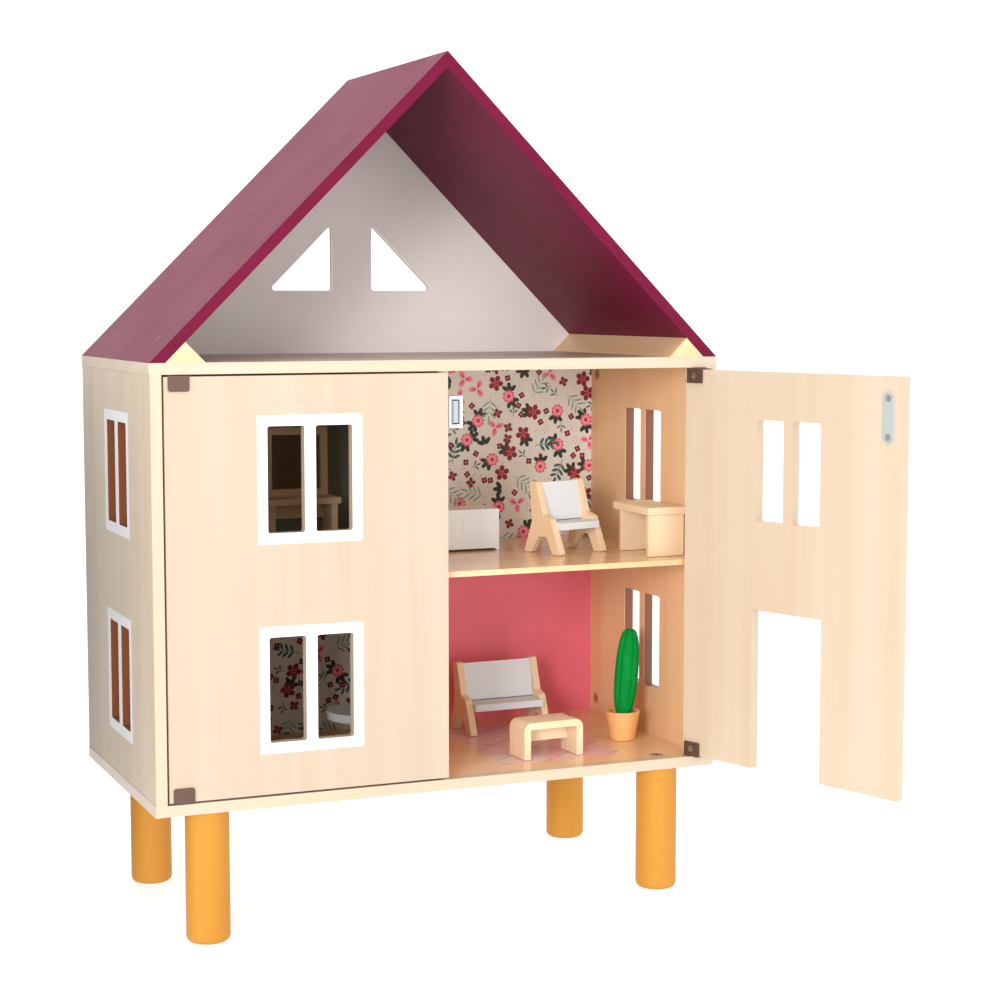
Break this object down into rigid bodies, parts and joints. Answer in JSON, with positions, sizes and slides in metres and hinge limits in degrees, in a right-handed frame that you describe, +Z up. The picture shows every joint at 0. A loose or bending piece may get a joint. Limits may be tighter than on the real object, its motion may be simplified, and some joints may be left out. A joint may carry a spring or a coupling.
{
  "type": "dollhouse",
  "caption": "Toy house on round legs, with rooms behind hinged doors, an open attic under a steep roof and loose furniture.",
  "frame": {"origin": "on the floor, below the middle of the cabinet's front edge", "axes": "+X to the right seen from the front, +Y from the front to the back, +Z up"},
  "size_m": [0.6644, 0.5624, 0.8625],
  "materials": {
    "maple": "clear satin lacquer",
    "roof_red": "burgundy stain under gloss lacquer",
    "mustard": "mustard yellow satin lacquer",
    "gable_print": "light printed sheet on board",
    "wall_print": "printed wallpaper on thin board",
    "plywood": "sanded clear plywood",
    "white_board": "white satin paint",
    "steel": "zinc plated",
    "brass": "plain",
    "hinge_brown": "brown satin coating",
    "screw_burgundy": "burgundy coating",
    "zinc_cam": "dull die-cast",
    "nylon": "white matte",
    "magnet": "dark matte",
    "cactus_green": "bright green matte",
    "mirror": "silvered"
  },
  "bodies": {
    "house": {"base_board": "maple", "attic_floor": "maple", "left_side_panel": "maple", "right_side_panel": "maple", "partition": "maple", "left_shelf": "maple", "right_shelf": "maple", "left_back_panel": "wall_print", "right_back_panel": "wall_print", "gable_panel": "gable_print", "left_roof_panel": "roof_red", "right_roof_panel": "roof_red", "left_eave_cleat": "plywood", "right_eave_cleat": "plywood", "front_left_leg": "mustard", "front_right_leg": "mustard", "back_left_leg": "mustard", "back_right_leg": "mustard", "leg_inserts": "brass", "leg_bolts": "steel", "panel_dowels": "plywood", "cam_locks": "zinc_cam", "cam_bolts": "steel", "cleat_screws": "steel", "left_roof_screws": "screw_burgundy", "right_roof_screws": "screw_burgundy", "hinge_bushes": "nylon", "catch_housings": "nylon", "catch_pole_plates": "steel", "catch_magnets": "magnet", "catch_screws": "steel"},
    "left_door": {"left_door_panel": "maple", "left_upper_hinge": "hinge_brown", "left_lower_hinge": "hinge_brown", "left_strike_plate": "steel", "left_door_screws": "steel"},
    "right_door": {"right_door_panel": "maple", "right_upper_hinge": "hinge_brown", "right_lower_hinge": "hinge_brown", "right_strike_plate": "steel", "right_door_screws": "steel"},
    "sideboard_body": {"sideboard": "white_board"},
    "armchair": {"armchair_sides": "plywood", "armchair_boards": "white_board"},
    "desk": {"desk_frame": "plywood", "desk_top": "plywood"},
    "sofa": {"sofa_sides": "plywood", "sofa_boards": "white_board"},
    "coffee_table_body": {"coffee_table": "plywood", "coffee_table_rail": "plywood"},
    "potted_cactus": {"plant_pot": "plywood", "cactus": "cactus_green"},
    "vanity": {"vanity_table": "plywood", "vanity_mirror_frame": "plywood", "vanity_mirror": "mirror"},
    "dining_chair": {"dining_chair_sides": "plywood", "dining_chair_boards": "white_board"},
    "round_table": {"round_table_base": "plywood", "round_table_top": "white_board"}
  },
  "joints": [
    {"name": "right_door_hinge", "type": "hinge", "parent": "house", "child": "right_door", "pos_m": [0.2784, 0.005, 0.3465], "axis": [0, 0, 1], "range_deg": [-107, 5]},
    {"name": "left_door_hinge", "type": "hinge", "parent": "house", "child": "left_door", "pos_m": [-0.2784, 0.005, 0.3465], "axis": [0, 0, -1], "range_deg": [0, 112]},
    {"name": "sideboard_lift", "type": "slide", "parent": "house", "child": "sideboard_body", "axis": [0, 0, 1], "range_m": [0, 0.06]},
    {"name": "armchair_lift", "type": "slide", "parent": "house", "child": "armchair", "axis": [0, 0, 1], "range_m": [0, 0.06]},
    {"name": "desk_lift", "type": "slide", "parent": "house", "child": "desk", "axis": [0, 0, 1], "range_m": [0, 0.06]},
    {"name": "sofa_lift", "type": "slide", "parent": "house", "child": "sofa", "axis": [0, 0, 1], "range_m": [0, 0.06]},
    {"name": "coffee_table_lift", "type": "slide", "parent": "house", "child": "coffee_table_body", "axis": [0, 0, 1], "range_m": [0, 0.06]},
    {"name": "potted_cactus_lift", "type": "slide", "parent": "house", "child": "potted_cactus", "axis": [0, 0, 1], "range_m": [0, 0.06]},
    {"name": "vanity_lift", "type": "slide", "parent": "house", "child": "vanity", "axis": [0, 0, 1], "range_m": [0, 0.05]},
    {"name": "dining_chair_lift", "type": "slide", "parent": "house", "child": "dining_chair", "axis": [0, 0, 1], "range_m": [0, 0.06]},
    {"name": "round_table_lift", "type": "slide", "parent": "house", "child": "round_table", "axis": [0, 0, 1], "range_m": [0, 0.06]}
  ]
}
